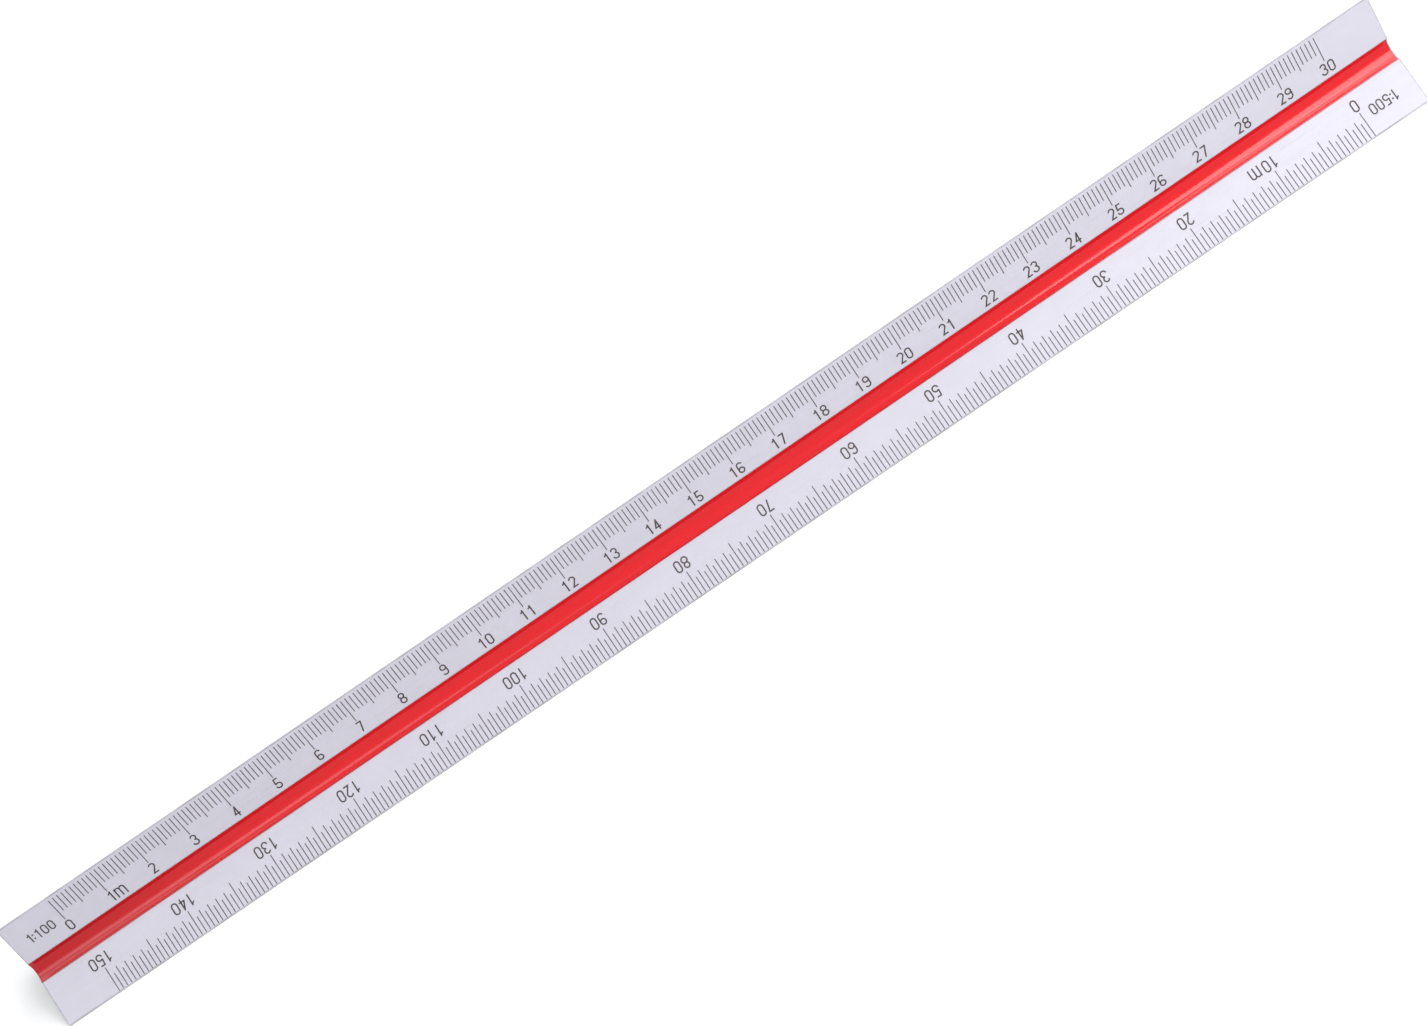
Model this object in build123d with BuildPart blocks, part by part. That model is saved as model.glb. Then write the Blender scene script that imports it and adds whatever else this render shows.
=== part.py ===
"""Triangular scale ruler, 300 mm of graduations, with six reduction scales.

A white bar with three blades has two sloping facets on each of its three sides. A coloured strip is bonded
into the flute between the two facets of a side, so that the side can be told by its colour. Each facet
carries one scale, printed as a film of ink: its graduations, its figures and its ratio label.

Frame: X runs along the ruler, Z is up, and the origin is under the ruler's middle, on the plane it lies on.
"""

import os
from math import cos, radians, sin, sqrt, tan
from typing import NamedTuple

from build123d import *

# Body
LENGTH = 325.0
SIDE = 24.5  # one side of the triangle, from sharp edge to sharp edge
EDGE_RADIUS = 0.1  # along each of the three edges
LAND = 0.3  # blunt flat beside each edge, in the plane of the side
FACET_SLOPE = 18.1  # degrees that a facet falls from the side's plane towards the flute
SHARP_CORNER = 0.25  # rounding of an edge where it meets the end face
WORN_CORNER = 1.0  # the same at the one corner that is blunter than the rest
END_RADIUS = 0.12  # round the rim of each end face

# Flute strips
MOUTH = 4.75  # width of the coloured band, across both its lips
LIP = 0.25  # thickness of the strip's two lips where they come flush with the facets
STRIP_DEPTH = 4.25  # from the side's plane to the bottom of the strip's hollow face
STRIP_THICKNESS = 0.7  # at the bottom of the flute
STRIP_SHORTFALL = 0.4  # how far the strips stop short of the +X end

# Printing
INK = 0.03  # thickness of the film
LINE_WIDTH = 0.16  # of one graduation line
SCALE_SPAN = 300.0  # from the zero line to the last line of every scale

INRADIUS = SIDE * sqrt(3) / 6
FACET_TAN = tan(radians(FACET_SLOPE))
UNDERSIDE_ANGLE = 270  # direction of the underside's outward normal, in the YZ plane


class Lettering(NamedTuple):
    """Where a facet's marks lie. A depth is measured along the facet, from the edge towards the flute."""

    zero_inset: float  # from the ruler's end to the zero line
    line_start: float  # depth at which every graduation line starts
    line_ends: tuple  # depths at which the short, medium and long lines end
    figure_height: float
    figure_baseline: float  # depth
    unit_gap: float  # between a number and its unit, as a share of the figures' height
    ratio_height: float
    ratio_baseline: float  # depth
    ratio_centre: float  # from the zero line back towards the end


class Scale(NamedTuple):
    """One printed scale: its ratio, what its lines stand for, and the facet that carries it."""

    ratio: int
    step_m: float  # metres between two neighbouring lines
    medium_every: int  # lines from one medium line to the next
    long_every: int
    figure_every: int
    side: str
    lettering: Lettering
    reads_backwards: bool  # read from the other end, with the ruler turned about


OUTER = Lettering(
    zero_inset=11.9,
    line_start=0.95,
    line_ends=(4.67, 5.6, 6.62),
    figure_height=2.56,
    figure_baseline=9.53,
    unit_gap=0.03,
    ratio_height=2.3,
    ratio_baseline=6.97,
    ratio_centre=5.35,
)
INNER = Lettering(
    zero_inset=12.66,
    line_start=0.45,
    line_ends=(3.95, 4.86, 5.89),
    figure_height=2.56,
    figure_baseline=8.85,
    unit_gap=0.22,
    ratio_height=2.35,
    ratio_baseline=6.25,
    ratio_centre=5.25,
)

# Each side's outward normal, as its direction in the YZ plane.
SIDES = {"red": 150, "green": UNDERSIDE_ANGLE, "blue": 30}
SCALES = (
    Scale(100, 0.1, 5, 10, 10, "red", OUTER, False),
    Scale(500, 0.5, 2, 10, 20, "red", INNER, True),
    Scale(200, 0.2, 5, 10, 10, "green", OUTER, False),
    Scale(400, 0.5, 2, 10, 20, "green", INNER, True),
    Scale(300, 0.5, 2, 10, 10, "blue", OUTER, False),
    Scale(250, 0.5, 2, 10, 10, "blue", INNER, True),
)

# Figures are drawn one unit high and then brought to size, so these are shares of a figure's height.
STROKE = 0.11
HALF_WIDTH = 0.22  # from a digit's middle to the centre line of its side
TOP = 1 - STROKE / 2  # centre line of the highest stroke
UPPER_BOWL = 0.21
LOWER_BOWL = (TOP - STROKE / 2 - 2 * UPPER_BOWL) / 2
STEM_OF_ONE = 0.06  # from a digit's middle to the middle of the stem of a 1
ARCH = 0.2  # radius of the two arches of an m
M_HEIGHT = 0.9
COLON_DOT = 0.14
ADVANCE = {":": 0.13, "m": 4 * ARCH + STROKE}
DIGIT_ADVANCE = 0.69


def side_plane(angle, reads_backwards=False):
    """The plane of one side, centred on it, with Z outwards and X in the reading direction."""
    normal = Vector(0, cos(radians(angle)), sin(radians(angle)))
    centre = Vector(0, 0, INRADIUS) + normal * INRADIUS
    return Plane(origin=centre, x_dir=(-1 if reads_backwards else 1, 0, 0), z_dir=normal)


def facet_plane(scale):
    """The plane of one facet, with X measured from the scale's zero line and Y upwards from the edge."""
    side = side_plane(SIDES[scale.side], scale.reads_backwards)
    zero = scale.lettering.zero_inset - LENGTH / 2
    origin = side.from_local_coords((zero, SIDE / 2, LAND * FACET_TAN))
    slope = radians(FACET_SLOPE)
    normal = side.z_dir * cos(slope) - side.y_dir * sin(slope)
    return Plane(origin=origin, x_dir=side.x_dir, z_dir=normal)


def end_plane(angle):
    """The ruler's -X end, with its origin at the middle of one side and that side along its X axis."""
    turn = angle - UNDERSIDE_ANGLE
    normal = Vector(0, cos(radians(angle)), sin(radians(angle)))
    origin = Vector(-LENGTH / 2, 0, INRADIUS) + normal * INRADIUS
    along = Vector(0, cos(radians(turn)), sin(radians(turn)))
    return Plane(origin=origin, x_dir=along, z_dir=(1, 0, 0))


def flute_line(half_width, depth_at_middle):
    """A hollow line across the flute, between two points that lie on the side's two facets."""
    rim = (SIDE / 2 - LAND - half_width) * FACET_TAN
    return ThreePointArc((-half_width, rim), (0, depth_at_middle), (half_width, rim))


def draw_zero():
    with Locations((0, 0.5)):
        SlotOverall(1, 2 * HALF_WIDTH + STROKE, rotation=90)
        SlotOverall(1 - 2 * STROKE, 2 * HALF_WIDTH - STROKE, rotation=90, mode=Mode.SUBTRACT)


def draw_stem(middle, top=1.0):
    with Locations((middle, top / 2)):
        Rectangle(STROKE, top)


def draw_one():
    draw_stem(STEM_OF_ONE)
    with BuildLine() as path:
        JernArc((-0.17, 0.77), (1, 0), radius=0.23, arc_size=80)
    trace(path.line, STROKE)


def draw_two():
    with BuildLine() as path:
        head = CenterArc((0, TOP - HALF_WIDTH), HALF_WIDTH, 165, -200)
        Polyline(head @ 1, (-0.17, STROKE / 2), (HALF_WIDTH + 0.02, STROKE / 2))
    trace(path.line, STROKE)


def draw_three():
    with BuildLine() as path:
        CenterArc((0, TOP - UPPER_BOWL), UPPER_BOWL, 165, -255)
    trace(path.line, STROKE)
    with BuildLine() as path:
        CenterArc((0, STROKE / 2 + LOWER_BOWL), LOWER_BOWL, 90, -265)
    trace(path.line, STROKE)


def draw_four():
    stem, bar = 0.09, 0.285
    draw_stem(stem)
    with BuildLine() as path:
        Polyline((stem, 0.95), (-0.2, bar), (0.26, bar))
    trace(path.line, STROKE)


def draw_five():
    with BuildLine() as path:
        Polyline((0.2, TOP), (-0.145, TOP), (-0.19, 0.45))
    trace(path.line, STROKE)
    with BuildLine() as path:
        CenterArc((0, STROKE / 2 + LOWER_BOWL), LOWER_BOWL, 140, -315)
    trace(path.line, STROKE)


def draw_six():
    draw_ring(STROKE / 2 + HALF_WIDTH, HALF_WIDTH)
    with BuildLine() as path:
        side = Line((-HALF_WIDTH, HALF_WIDTH), (-HALF_WIDTH, TOP - HALF_WIDTH))
        JernArc(side @ 1, (0, 1), radius=HALF_WIDTH, arc_size=-160)
    trace(path.line, STROKE)


def draw_seven():
    with BuildLine() as path:
        Polyline((-HALF_WIDTH, TOP), (0.205, TOP), (-0.055, 0.014))
    trace(path.line, STROKE)


def draw_eight():
    draw_ring(TOP - UPPER_BOWL, UPPER_BOWL)
    draw_ring(STROKE / 2 + LOWER_BOWL, LOWER_BOWL)


def draw_nine():
    with BuildLine() as path:
        side = Line((HALF_WIDTH, 1 - HALF_WIDTH), (HALF_WIDTH, STROKE / 2 + HALF_WIDTH))
        JernArc(side @ 1, (0, -1), radius=HALF_WIDTH, arc_size=-160)
    trace(path.line, STROKE)
    draw_ring(TOP - HALF_WIDTH, HALF_WIDTH)


def draw_colon():
    with Locations((-0.05, 0.27), (-0.05, 0.69)):
        Rectangle(COLON_DOT, COLON_DOT)


def draw_m():
    spring = M_HEIGHT - STROKE / 2 - ARCH
    draw_stem(-2 * ARCH, M_HEIGHT)
    for middle in (-ARCH, ARCH):
        with BuildLine() as path:
            top = CenterArc((middle, spring), ARCH, 180, -180)
            Line(top @ 1, (middle + ARCH, 0))
        trace(path.line, STROKE)


def draw_ring(middle, radius):
    with Locations((0, middle)):
        Circle(radius + STROKE / 2)
        Circle(radius - STROKE / 2, mode=Mode.SUBTRACT)


DRAWINGS = {
    "0": draw_zero,
    "1": draw_one,
    "2": draw_two,
    "3": draw_three,
    "4": draw_four,
    "5": draw_five,
    "6": draw_six,
    "7": draw_seven,
    "8": draw_eight,
    "9": draw_nine,
    ":": draw_colon,
    "m": draw_m,
}


def draw_glyph(character):
    """One character as a flat shape one unit high, standing on the X axis with its middle on the Y axis."""
    with BuildSketch() as glyph:
        DRAWINGS[character]()
    return glyph.sketch


GLYPHS = {character: draw_glyph(character) for character in DRAWINGS}


def text_width(text, height):
    return height * sum(ADVANCE.get(character, DIGIT_ADVANCE) for character in text)


def write(text, height, left, baseline):
    """Adds a line of characters to the open sketch, from its left end."""
    for index, character in enumerate(text):
        middle = left + text_width(text[:index], height) + text_width(character, height) / 2
        with Locations((middle, baseline)):
            add(GLYPHS[character].scale(height))


def line_rank(scale, index):
    """0 for a short graduation line, 1 for a medium one and 2 for a long one."""
    if index % scale.long_every == 0:
        return 2
    return 1 if index % scale.medium_every == 0 else 0


def draw_graduations(scale):
    marks = scale.lettering
    step = scale.step_m * 1000 / scale.ratio
    for rank, end in enumerate(marks.line_ends):
        middle = -(marks.line_start + end) / 2
        lines = [i for i in range(round(SCALE_SPAN / step) + 1) if line_rank(scale, i) == rank]
        with Locations(*[(i * step, middle) for i in lines]):
            Rectangle(LINE_WIDTH, end - marks.line_start)


def draw_figures(scale):
    marks = scale.lettering
    step = scale.step_m * 1000 / scale.ratio
    height = marks.figure_height
    for count in range(round(SCALE_SPAN / (step * scale.figure_every)) + 1):
        number = str(round(count * scale.figure_every * scale.step_m))
        line = count * scale.figure_every * step
        half_width = text_width(number, height) / 2
        write(number, height, line - half_width, -marks.figure_baseline)
        if count == 1:
            write("m", height, line + half_width + marks.unit_gap * height, -marks.figure_baseline)


def draw_ratio(scale):
    marks = scale.lettering
    ratio = f"1:{scale.ratio}"
    left = -marks.ratio_centre - text_width(ratio, marks.ratio_height) / 2
    write(ratio, marks.ratio_height, left, -marks.ratio_baseline)


os.makedirs("parts", exist_ok=True)

# The body: a triangular bar, less the shallow hollow of each side, made of two facets and the flute's seat.
with BuildPart() as ruler_body:
    with BuildSketch(Plane(origin=(-LENGTH / 2, 0, INRADIUS), x_dir=(0, 1, 0), z_dir=(1, 0, 0))):
        RegularPolygon(radius=2 * INRADIUS, side_count=3, rotation=90)
    extrude(amount=LENGTH)
    fillet(ruler_body.edges().filter_by(Axis.X), radius=EDGE_RADIUS)
    for angle in SIDES.values():
        with BuildSketch(end_plane(angle)):
            with BuildLine():
                seat = flute_line(MOUTH / 2, STRIP_DEPTH + STRIP_THICKNESS)
                Polyline(seat @ 0, (LAND - SIDE / 2, 0), (SIDE / 2 - LAND, 0), seat @ 1)
            make_face()
        extrude(amount=LENGTH, mode=Mode.SUBTRACT)
    # Each edge is rounded off where it meets the end faces.
    for angle in SIDES.values():
        for end in (-1, 1):
            worn = end == 1 and angle == UNDERSIDE_ANGLE
            rounding = WORN_CORNER if worn else SHARP_CORNER
            normal = Vector(0, cos(radians(angle)), sin(radians(angle)))
            tip = Vector(end * LENGTH / 2, 0, INRADIUS) - normal * (2 * INRADIUS - EDGE_RADIUS)
            across = Vector(-end, 0, 0).cross(normal)
            with BuildSketch(Plane(origin=tip, x_dir=(-end, 0, 0), z_dir=across)):
                Rectangle(rounding, rounding, align=(Align.MIN, Align.MIN))
                with Locations((rounding, rounding)):
                    Circle(rounding, mode=Mode.SUBTRACT)
            extrude(amount=rounding, both=True, mode=Mode.SUBTRACT)
    fillet(ruler_body.faces().filter_by(Axis.X).edges(), radius=END_RADIUS)
ruler_body.part.label = "ruler_body"
export_step(ruler_body.part, "parts/ruler_body.step")

# One strip in each flute, flush with the -X end. Its back fills the seat, its two lips end flush with the
# facets and its face is hollow.
for colour, angle in SIDES.items():
    with BuildPart() as flute_strip:
        with BuildSketch(end_plane(angle)):
            with BuildLine():
                back = flute_line(MOUTH / 2, STRIP_DEPTH + STRIP_THICKNESS)
                face = flute_line(MOUTH / 2 - LIP, STRIP_DEPTH)
                Line(back @ 0, face @ 0)
                Line(back @ 1, face @ 1)
            make_face()
        extrude(amount=LENGTH - STRIP_SHORTFALL)
    flute_strip.part.label = f"flute_strip_{colour}"
    export_step(flute_strip.part, f"parts/{flute_strip.part.label}.step")

# The printing, three groups of marks for each scale.
for scale in SCALES:
    groups = {"graduations": draw_graduations, "figures": draw_figures, "ratio": draw_ratio}
    for group, draw in groups.items():
        with BuildPart() as print_group:
            with BuildSketch(facet_plane(scale)):
                draw(scale)
            extrude(amount=INK, clean=False)
        print_group.part.label = f"{group}_1_{scale.ratio}"
        export_step(print_group.part, f"parts/{print_group.part.label}.step")
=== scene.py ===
"""Triangular scale ruler: plastics, ink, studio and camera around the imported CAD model, in metres."""

import math

import bpy
from mathutils import Matrix, Vector


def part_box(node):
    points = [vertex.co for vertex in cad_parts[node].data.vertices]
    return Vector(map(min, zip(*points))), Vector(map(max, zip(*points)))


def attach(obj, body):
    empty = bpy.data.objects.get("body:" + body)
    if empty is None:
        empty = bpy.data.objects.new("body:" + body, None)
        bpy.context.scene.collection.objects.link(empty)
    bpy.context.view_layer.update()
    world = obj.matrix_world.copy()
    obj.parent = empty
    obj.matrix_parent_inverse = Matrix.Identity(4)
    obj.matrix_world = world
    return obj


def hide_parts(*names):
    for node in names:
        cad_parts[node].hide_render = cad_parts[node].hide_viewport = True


MM = 0.001

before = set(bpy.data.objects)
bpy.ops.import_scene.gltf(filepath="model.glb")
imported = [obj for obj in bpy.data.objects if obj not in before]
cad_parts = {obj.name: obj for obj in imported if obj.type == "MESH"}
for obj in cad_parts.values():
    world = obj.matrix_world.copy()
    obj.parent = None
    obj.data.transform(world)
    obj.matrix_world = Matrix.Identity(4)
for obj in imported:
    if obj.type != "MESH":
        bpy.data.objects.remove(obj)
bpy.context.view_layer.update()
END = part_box("ruler_body")[1].x
ALONG = Vector((1, 0, 0))

# The ruler's section is an equilateral triangle that lies on one side.
SIDE = 24.5 * MM  # from sharp edge to sharp edge
INRADIUS = SIDE * math.sqrt(3) / 6
CIRCUMRADIUS = 2 * INRADIUS
CENTRE = Vector((0, 0, INRADIUS))
SIDE_ANGLES = {"red": 150, "green": 270, "blue": 30}  # of the outward normals in the YZ plane, in degrees
FACET_SLOPE = math.radians(18.1)

# The strips' section. The green strip lies flat in the underside, so its box gives their width and depth.
STRIP_LOW, STRIP_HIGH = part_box("flute_strip_green")
STRIP_LENGTH = STRIP_HIGH.x - STRIP_LOW.x
STRIP_MIDDLE = (STRIP_LOW.x + STRIP_HIGH.x) / 2
HALF_MOUTH = STRIP_HIGH.y
LIP = 0.25 * MM  # thickness of the two lips where they come flush with the facets
THICKNESS = 0.7 * MM  # at the bottom of the flute
STRIP_BEVEL = 0.06 * MM
ARC_STEPS = 40
RING_SPACING = 5 * MM

# Painted shade along the edges and the rims of the ends, and dark seams with painted shade in them. A pair
# is how far inside a rim it starts, and how far inside the rim it is full.
SHADE_ON_EDGES = (0.5 * MM, 0.28 * MM)  # inside the triangle's sharp corners
SHADE_ON_ENDS = (0.35 * MM, 0.1 * MM)
SEAM_SHADE_BESIDE_STRIPS = 0.3 * MM
SEAM_SHADE_ON_LIPS = (0.4 * MM, 0.15 * MM)
SEAM_SHADE_ON_ENDS = (0.35 * MM, 0.1 * MM)
SAW_MARK_DEPTH = 0.02 * MM  # how near an end face its saw marks start
DULL_LENGTH = 75 * MM  # stretch over which the strips grow duller towards the zero end

STRIP_COLOURS = {
    "red": (0.68, 0.004, 0.009),
    "green": (0.006, 0.26, 0.065),
    "blue": (0.008, 0.075, 0.46),
}
WHITE = (0.555, 0.543, 0.608)
GREY_WHITE = (0.525, 0.515, 0.575)
# Painted shade on the edges, ends and seams, and also the colour of scratches and dark specks.
SHADE_AND_DIRT = (0.27, 0.26, 0.27)
INK = (0.040, 0.027, 0.026)
THIN_INK = (0.090, 0.067, 0.065)
FADED_INK = (0.115, 0.09, 0.09)
PAPER = (0.93, 0.93, 0.93)
BRIGHT_PAPER = (0.95, 0.95, 0.95)

# The camera stands in front of the red side. Its roll makes the ruler climb to the right.
AZIMUTH, ELEVATION, ROLL = -1.98, 42.06, 35.6  # in degrees
CAMERA_DISTANCE = 599 * MM
CAMERA_TARGET = Vector((0.85, -5.47, 10.6)) * MM
LENS, SENSOR_WIDTH = 76.81, 36  # in millimetres, as Blender takes them

FLOOR_SIZE = 6
SKY_COLOUR = (0.96, 0.97, 1.0, 1.0)
SKY_STRENGTH = 0.6
SOFTBOXES = {  # centre, width, height and radiance
    "softbox_left": ((-0.58, -0.70, 0.92), 0.32, 1.5, 1.8),
    "softbox_above_left": ((-0.46, 0.14, 0.95), 0.6, 0.3, 1.25),
    "softbox_right": ((0.36, -0.45, 0.48), 0.28, 0.8, 3.8),
    "softbox_above": ((0.40, 0.06, 0.5), 0.55, 0.5, 2.5),
    "softbox_behind": ((-0.5, 0.7, 0.7), 0.7, 0.7, 0.8),
}


def normal_of(colour):
    """A side's outward normal."""
    angle = math.radians(SIDE_ANGLES[colour])
    return Vector((0, math.cos(angle), math.sin(angle)))


def across(colour):
    """The direction across a side, at right angles to the ruler."""
    return ALONG.cross(normal_of(colour))


def node(tree, kind, inputs=None, **settings):
    """A new shader node with its settings; each input is a value or another node's output."""
    made = tree.nodes.new("ShaderNode" + kind)
    for name, value in settings.items():
        setattr(made, name, value)
    for key, value in (inputs or {}).items():
        if isinstance(value, bpy.types.NodeSocket):
            tree.links.new(value, made.inputs[key])
        else:
            made.inputs[key].default_value = value
    return made


def maths(tree, operation, *values):
    return node(tree, "Math", dict(enumerate(values)), operation=operation).outputs[0]


def place(tree):
    """The surface position, in the row frame."""
    return node(tree, "TexCoord").outputs["Object"]


def stretched(tree, scale, turn=0.0):
    """The surface position, scaled to so many waves per metre along X, Y and Z, and turned about Z."""
    inputs = {"Vector": place(tree), "Rotation": (0, 0, math.radians(turn)), "Scale": scale}
    return node(tree, "Mapping", inputs).outputs["Vector"]


def noise(tree, vector, scale=1.0, detail=2.0):
    return node(tree, "TexNoise", {"Vector": vector, "Scale": scale, "Detail": detail}).outputs["Fac"]


def ramp(tree, value, low, high, to_low=0.0, to_high=1.0):
    """Maps value from low..high to to_low..to_high, smoothly and clamped."""
    inputs = {"Value": value, "From Min": low, "From Max": high, "To Min": to_low, "To Max": to_high}
    return node(tree, "MapRange", inputs, interpolation_type="SMOOTHSTEP").outputs["Result"]


def mix(tree, factor, first, second):
    """Mixes two colours; each is a tuple or a node's output."""
    mixer = tree.nodes.new("ShaderNodeMix")
    mixer.data_type = "RGBA"
    colours = [socket for socket in mixer.inputs if socket.type == "RGBA"]
    tree.links.new(factor, mixer.inputs["Factor"])
    for socket, value in zip(colours, (first, second)):
        if isinstance(value, bpy.types.NodeSocket):
            tree.links.new(value, socket)
        else:
            socket.default_value = (*value, 1.0)
    return [socket for socket in mixer.outputs if socket.type == "RGBA"][0]


def share(tree, factor, most):
    """A mask weakened so that it reaches only so much."""
    return maths(tree, "MULTIPLY", factor, most)


def darker(colour, by):
    return tuple(by * channel for channel in colour)


def bump(tree, height, distance, under=None):
    """A normal raised by height times distance, on top of another normal."""
    inputs = {"Height": height, "Distance": distance}
    if under is not None:
        inputs["Normal"] = under
    return node(tree, "Bump", inputs).outputs["Normal"]


def reach(tree, direction):
    """How far the surface lies from the ruler's axis, along a direction."""
    centred = node(tree, "VectorMath", {0: place(tree), 1: CENTRE}, operation="SUBTRACT").outputs[0]
    return node(tree, "VectorMath", {0: centred, 1: direction}, operation="DOT_PRODUCT").outputs["Value"]


def off_centre(tree, centre=0.0):
    """How far the surface lies from a place on the ruler, along it."""
    return maths(tree, "ABSOLUTE", maths(tree, "SUBTRACT", reach(tree, ALONG), centre))


def off_middle(tree, colour):
    """How far the surface lies from the middle line of a side, across it."""
    return maths(tree, "ABSOLUTE", reach(tree, across(colour)))


def rim_mask(tree, distance, rim, depths):
    """0 well inside a rim and 1 at it; depths say how far inside it the mask starts and is full."""
    start, full = depths
    return ramp(tree, distance, rim - start, rim - full)


def specks(tree, cell, radius, filled):
    """1 inside small round specks, at most one to a cell, in that share of the cells."""
    voronoi = node(tree, "TexVoronoi", {"Vector": place(tree), "Scale": 1 / cell}).outputs
    dot = ramp(tree, voronoi["Distance"], radius / cell, 0.4 * radius / cell)
    pick = node(tree, "SeparateColor", {"Color": voronoi["Color"]}).outputs["Red"]
    return maths(tree, "MULTIPLY", dot, maths(tree, "LESS_THAN", pick, filled))


def hairlines(tree, turn):
    """1 along thin straight scratches, which run at that angle to the ruler."""
    lines = noise(tree, stretched(tree, (45, 5200, 5200), turn), detail=0.0)
    patches = noise(tree, stretched(tree, (70, 260, 260), turn))
    return maths(tree, "MULTIPLY", ramp(tree, lines, 0.70, 0.76), ramp(tree, patches, 0.5, 0.6))


def shade_and_seam_map(tree):
    """Painted shade along the three outer edges and the rims of the ends, and the seams beside the strips,
    dark joints with painted shade in them.
    """
    # Painted shade on the rims of the ends, which face away from the light.
    shade_and_seams = rim_mask(tree, off_centre(tree), END, SHADE_ON_ENDS)
    for colour in SIDE_ANGLES:
        height = reach(tree, normal_of(colour))  # the edge opposite the side is at -CIRCUMRADIUS
        # Painted shade along the rounded outer edges, which turn away from the light.
        edge = rim_mask(tree, share(tree, height, -1.0), CIRCUMRADIUS, SHADE_ON_EDGES)
        on_side = maths(tree, "GREATER_THAN", height, INRADIUS / 3)
        # Dark joint beside the strip, with painted shade of the groove's corner in it.
        seam = ramp(tree, off_middle(tree, colour), HALF_MOUTH + SEAM_SHADE_BESIDE_STRIPS, HALF_MOUTH, 0.0, 0.5)
        seam = maths(tree, "MULTIPLY", seam, on_side)
        shade_and_seams = maths(tree, "MAXIMUM", shade_and_seams, maths(tree, "MAXIMUM", edge, seam))
    patchy = ramp(tree, noise(tree, stretched(tree, (160, 900, 900)), detail=3.0), 0.3, 0.7, 0.4, 1.0)
    return maths(tree, "MULTIPLY", shade_and_seams, patchy)


def new_material(name):
    """An empty node material with its Principled shader."""
    material = bpy.data.materials.new(name)
    material.use_nodes = True
    tree = material.node_tree
    tree.nodes.clear()
    shader = node(tree, "BsdfPrincipled")
    node(tree, "OutputMaterial", {"Surface": shader.outputs["BSDF"]})
    return material, tree, shader


def dress(tree, shader, tone, roughness, normal):
    """Links a material's colour, roughness and normal to its shader."""
    for name, output in (("Base Color", tone), ("Roughness", roughness), ("Normal", normal)):
        tree.links.new(output, shader.inputs[name])


def white_tone(tree, flow, scratch, shade_and_seams):
    """The white plastic's colour: faint blotches and flow marks under scratches, painted shade along the
    edges, ends and seams, and dark specks.
    """
    blotch = noise(tree, place(tree), 150.0, detail=3.0)
    spots = specks(tree, 3.2 * MM, 0.07 * MM, 0.25)
    tone = mix(tree, ramp(tree, blotch, 0.35, 0.7), WHITE, darker(WHITE, 0.975))
    tone = mix(tree, ramp(tree, flow, 0.35, 0.75, 0.0, 0.35), tone, GREY_WHITE)
    # Scratches and specks are marks on the plastic; the middle mask is painted shade along the edges, ends
    # and seams.
    for mask, most in ((scratch, 0.12), (shade_and_seams, 0.8), (spots, 0.4)):
        tone = mix(tree, share(tree, mask, most), tone, SHADE_AND_DIRT)
    return tone


def white_relief(tree, flow, scratch):
    """The white plastic's normal: fine grain, flow marks, scratches, and saw marks on the ends."""
    grain = noise(tree, place(tree), 4200.0, detail=1.0)
    sawn = maths(tree, "GREATER_THAN", off_centre(tree), END - SAW_MARK_DEPTH)
    saw = maths(tree, "MULTIPLY", noise(tree, stretched(tree, (1, 500, 9000))), sawn)
    relief = bump(tree, grain, 0.003 * MM)
    relief = bump(tree, flow, 0.02 * MM, relief)
    relief = bump(tree, share(tree, scratch, -1.0), 0.006 * MM, relief)
    return bump(tree, saw, 0.05 * MM, relief)


def white_plastic():
    """Satin white plastic, a little translucent."""
    material, tree, shader = new_material("white_plastic")
    flow = noise(tree, stretched(tree, (40, 700, 700)), detail=3.0)
    scratch = maths(tree, "MAXIMUM", hairlines(tree, 3), hairlines(tree, -24))
    # Painted shade along the edges, ends and seams.
    shade_and_seams = shade_and_seam_map(tree)
    worn = share(tree, maths(tree, "MAXIMUM", scratch, shade_and_seams), 0.2)
    roughness = maths(tree, "ADD", ramp(tree, flow, 0.25, 0.8, 0.3, 0.4), worn)
    tone = white_tone(tree, flow, scratch, shade_and_seams)
    dress(tree, shader, tone, roughness, white_relief(tree, flow, scratch))
    shader.inputs["Subsurface Weight"].default_value = 0.25
    shader.inputs["Subsurface Radius"].default_value = (1.0, 0.85, 0.85)
    shader.inputs["Subsurface Scale"].default_value = 0.7 * MM
    return material


def strip_seam_shade(tree, colour_name):
    """1 in the dark seams along the strip's two lips and round its two ends: dark joint lines with painted
    shade in them.
    """
    lips = rim_mask(tree, off_middle(tree, colour_name), HALF_MOUTH, SEAM_SHADE_ON_LIPS)
    ends = rim_mask(tree, off_centre(tree, STRIP_MIDDLE), STRIP_LENGTH / 2, SEAM_SHADE_ON_ENDS)
    return maths(tree, "MAXIMUM", lips, ends)


def strip_tone(tree, colour_name, streak, cloud, dust):
    """The strip's colour: streaks and clouds, duller towards the zero end, dark seams with painted shade
    in them, pale dust.
    """
    colour = STRIP_COLOURS[colour_name]
    shadow = darker(colour, 0.3)
    dull_end = ramp(tree, reach(tree, ALONG), STRIP_LOW.x + DULL_LENGTH, STRIP_LOW.x - DULL_LENGTH / 7)
    tone = mix(tree, ramp(tree, streak, 0.35, 0.75, 0.0, 0.45), colour, darker(colour, 0.78))
    tone = mix(tree, ramp(tree, cloud, 0.35, 0.75, 0.0, 0.3), tone, darker(colour, 0.86))
    tone = mix(tree, share(tree, dull_end, 0.43), tone, shadow)
    # Dark seams with painted shade in them, along the lips and round the ends.
    tone = mix(tree, share(tree, strip_seam_shade(tree, colour_name), 0.5), tone, shadow)
    return mix(tree, share(tree, dust, 0.55), tone, WHITE)


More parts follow.
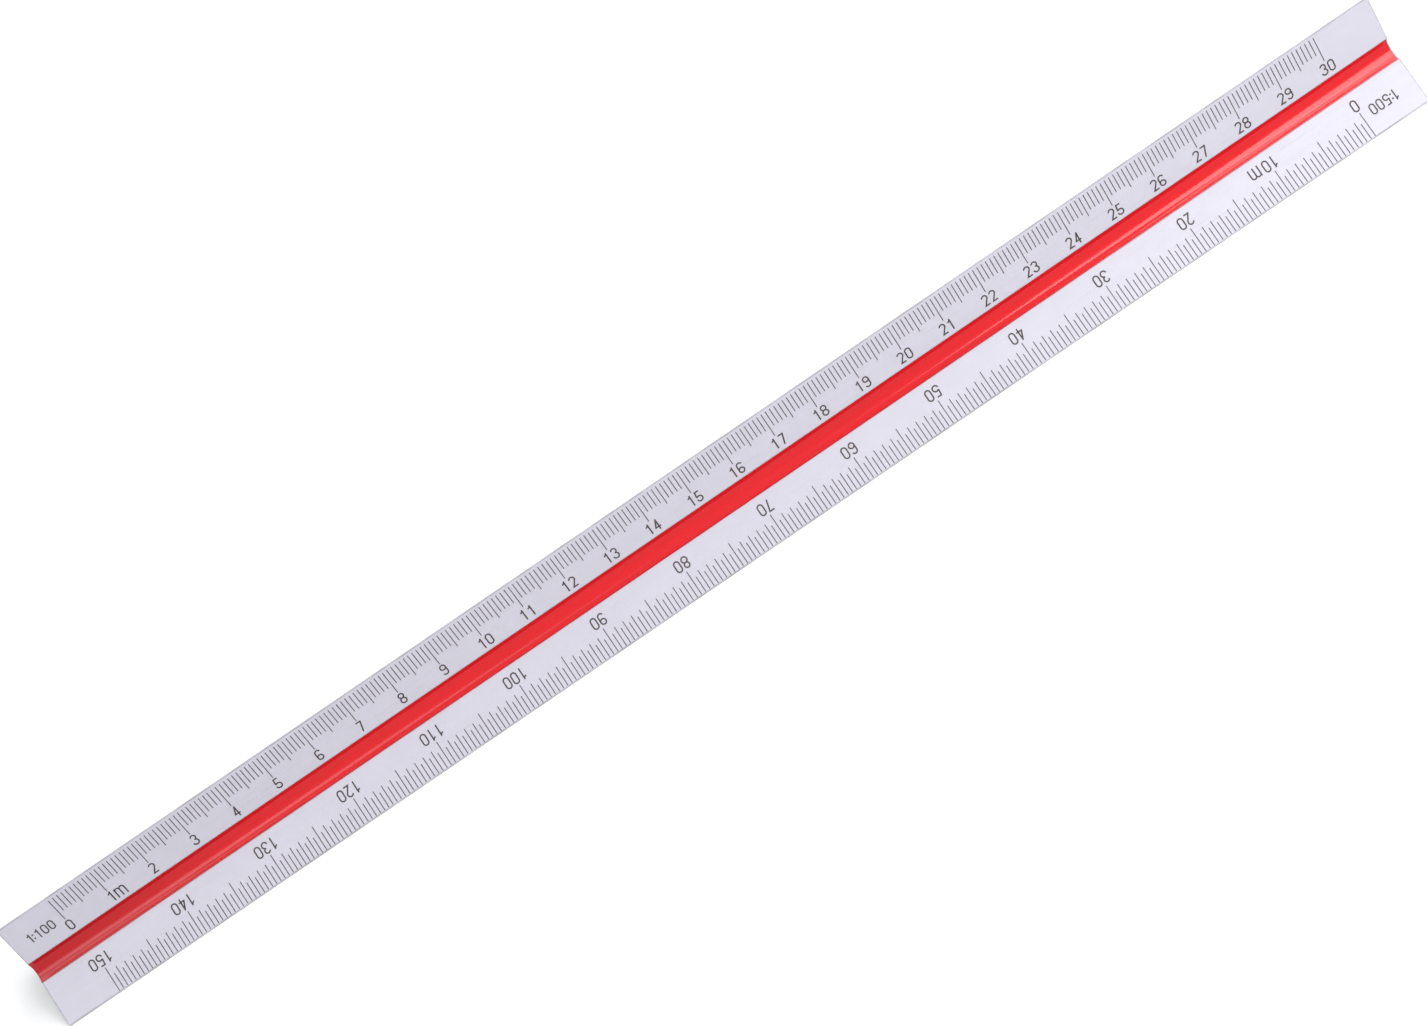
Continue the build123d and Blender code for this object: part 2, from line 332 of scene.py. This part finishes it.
def strip_plastic(colour_name):
    """Glossy coloured plastic of a strip, drawn along it."""
    material, tree, shader = new_material(f"strip_plastic_{colour_name}")
    streak = noise(tree, stretched(tree, (14, 2300, 2300)), detail=3.0)
    cloud = noise(tree, stretched(tree, (90, 400, 400)))
    dust = specks(tree, 1.9 * MM, 0.055 * MM, 0.3)
    relief = bump(tree, streak, 0.006 * MM)
    relief = bump(tree, cloud, 0.02 * MM, relief)
    relief = bump(tree, dust, 0.02 * MM, relief)
    tone = strip_tone(tree, colour_name, streak, cloud, dust)
    dress(tree, shader, tone, ramp(tree, streak, 0.3, 0.75, 0.09, 0.18), relief)
    shader.inputs["Specular IOR Level"].default_value = 0.6
    return material


def printing_ink():
    """Thin warm-black ink, matt and slightly uneven in density."""
    material, tree, shader = new_material("printing_ink")
    density = noise(tree, place(tree), 7000.0)
    patches = noise(tree, stretched(tree, (120, 400, 400)))
    tone = mix(tree, ramp(tree, density, 0.3, 0.75), INK, THIN_INK)
    tone = mix(tree, ramp(tree, patches, 0.45, 0.7, 0.0, 0.4), tone, FADED_INK)
    dress(tree, shader, tone, ramp(tree, density, 0.3, 0.7, 0.5, 0.68), bump(tree, density, 0.004 * MM))
    shader.inputs["Specular IOR Level"].default_value = 0.4
    return material


def paint_nodes():
    """Gives the body and the printed marks their materials."""
    white, ink = white_plastic(), printing_ink()
    for name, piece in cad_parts.items():
        for slot in piece.material_slots:
            slot.material = white if name == "ruler_body" else ink


def arc(half_width, rim, middle):
    """Points (across, depth) of the arc from one rim over the middle to the other rim."""
    sagitta = middle - rim
    radius = (half_width**2 + sagitta**2) / (2 * sagitta)
    turn = math.asin(half_width / radius)
    angles = [turn * (2 * i / ARC_STEPS - 1) for i in range(ARC_STEPS + 1)]
    return [(radius * math.sin(a), middle - radius * (1 - math.cos(a))) for a in angles]


def strip_outline():
    """The strip's section as points (across, depth): its hollow face, then its back the other way."""
    rim, back_depth = STRIP_LOW.z, STRIP_HIGH.z
    face = arc(HALF_MOUTH - LIP, rim + LIP * math.tan(FACET_SLOPE), back_depth - THICKNESS)
    return face + arc(HALF_MOUTH, rim, back_depth)[::-1]


def strip_points(colour, outline, spans):
    """Rings of points, the outline repeated from one end of the strip to the other."""
    normal, sideways = normal_of(colour), across(colour)
    points = []
    for ring in range(spans + 1):
        x = STRIP_LOW.x + STRIP_LENGTH * ring / spans
        for offset, depth in outline:
            points.append(CENTRE + Vector((x, 0, 0)) + sideways * offset + normal * (INRADIUS - depth))
    return points


def strip_faces(count, spans):
    """The two end caps and the quads between neighbouring rings of that many points."""
    faces = [tuple(range(count)), tuple(range(count * spans, count * (spans + 1)))[::-1]]
    for ring in range(spans):
        for i in range(count):
            here, there = ring * count + i, ring * count + (i + 1) % count
            faces.append((here, here + count, there + count, there))
    return faces


def make_strip(colour):
    """A strip with a smooth hollow face and softened rims, in place of the CAD strip."""
    outline = strip_outline()
    spans = round(STRIP_LENGTH / RING_SPACING)
    mesh = bpy.data.meshes.new(f"strip_{colour}")
    mesh.from_pydata(strip_points(colour, outline, spans), [], strip_faces(len(outline), spans))
    mesh.shade_smooth()
    mesh.materials.append(strip_plastic(colour))
    strip = bpy.data.objects.new(f"strip_{colour}", mesh)
    bpy.context.scene.collection.objects.link(strip)
    bevel = strip.modifiers.new("softened_rims", "BEVEL")
    bevel.width = STRIP_BEVEL
    bevel.segments = 2
    bevel.harden_normals = True
    node_name = f"flute_strip_{colour}"
    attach(strip, "root")
    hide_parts(node_name)


def make_camera():
    """Looks down on the red side from in front."""
    turn, rise = math.radians(AZIMUTH), math.radians(ELEVATION)
    look = Vector((math.sin(turn) * math.cos(rise), math.cos(turn) * math.cos(rise), -math.sin(rise)))
    level = look.cross(Vector((0, 0, 1))).normalized()
    upright = Matrix((level, level.cross(look), -look)).transposed()
    data = bpy.data.cameras.new("camera")
    data.sensor_width = SENSOR_WIDTH
    data.lens = LENS
    data.clip_start = 0.01
    camera = bpy.data.objects.new("camera", data)
    tilt = Matrix.Rotation(math.radians(-ROLL), 3, "Z")
    stand = Matrix.Translation(CAMERA_TARGET - look * CAMERA_DISTANCE)
    camera.matrix_world = stand @ (upright @ tilt).to_4x4()
    bpy.context.scene.collection.objects.link(camera)
    bpy.context.scene.camera = camera


def make_floor():
    """A plain pale paper floor, kept out of reflections, as if dark cards stood round the ruler."""
    bpy.ops.mesh.primitive_plane_add(size=FLOOR_SIZE)
    floor = bpy.context.object
    floor.name = "studio_floor"
    material, tree, shader = new_material("studio_paper")
    tone = mix(tree, noise(tree, place(tree), 900.0), PAPER, BRIGHT_PAPER)
    tree.links.new(tone, shader.inputs["Base Color"])
    shader.inputs["Roughness"].default_value = 0.9
    shader.inputs["Specular IOR Level"].default_value = 0.1
    floor.data.materials.append(material)
    floor.visible_glossy = False


def softbox(name, centre, width, height, radiance):
    """A rectangular area light that faces the ruler's middle."""
    data = bpy.data.lights.new(name, "AREA")
    data.shape = "RECTANGLE"
    data.size = width
    data.size_y = height
    data.energy = radiance * math.pi * width * height
    light = bpy.data.objects.new(name, data)
    away = Vector(centre)
    light.matrix_world = Matrix.Translation(away) @ away.to_track_quat("Z", "Y").to_matrix().to_4x4()
    bpy.context.scene.collection.objects.link(light)


def make_light():
    """A dim even sky and five softboxes; the red strip mirrors the ones in front and above."""
    world = bpy.data.worlds.new("studio")
    world.use_nodes = True
    background = world.node_tree.nodes["Background"]
    background.inputs["Color"].default_value = SKY_COLOUR
    background.inputs["Strength"].default_value = SKY_STRENGTH
    bpy.context.scene.world = world
    for name, (centre, width, height, radiance) in SOFTBOXES.items():
        softbox(name, centre, width, height, radiance)
    bpy.context.scene.view_settings.view_transform = "Standard"


make_camera()
make_floor()
make_light()
paint_nodes()
for strip_colour in STRIP_COLOURS:
    make_strip(strip_colour)
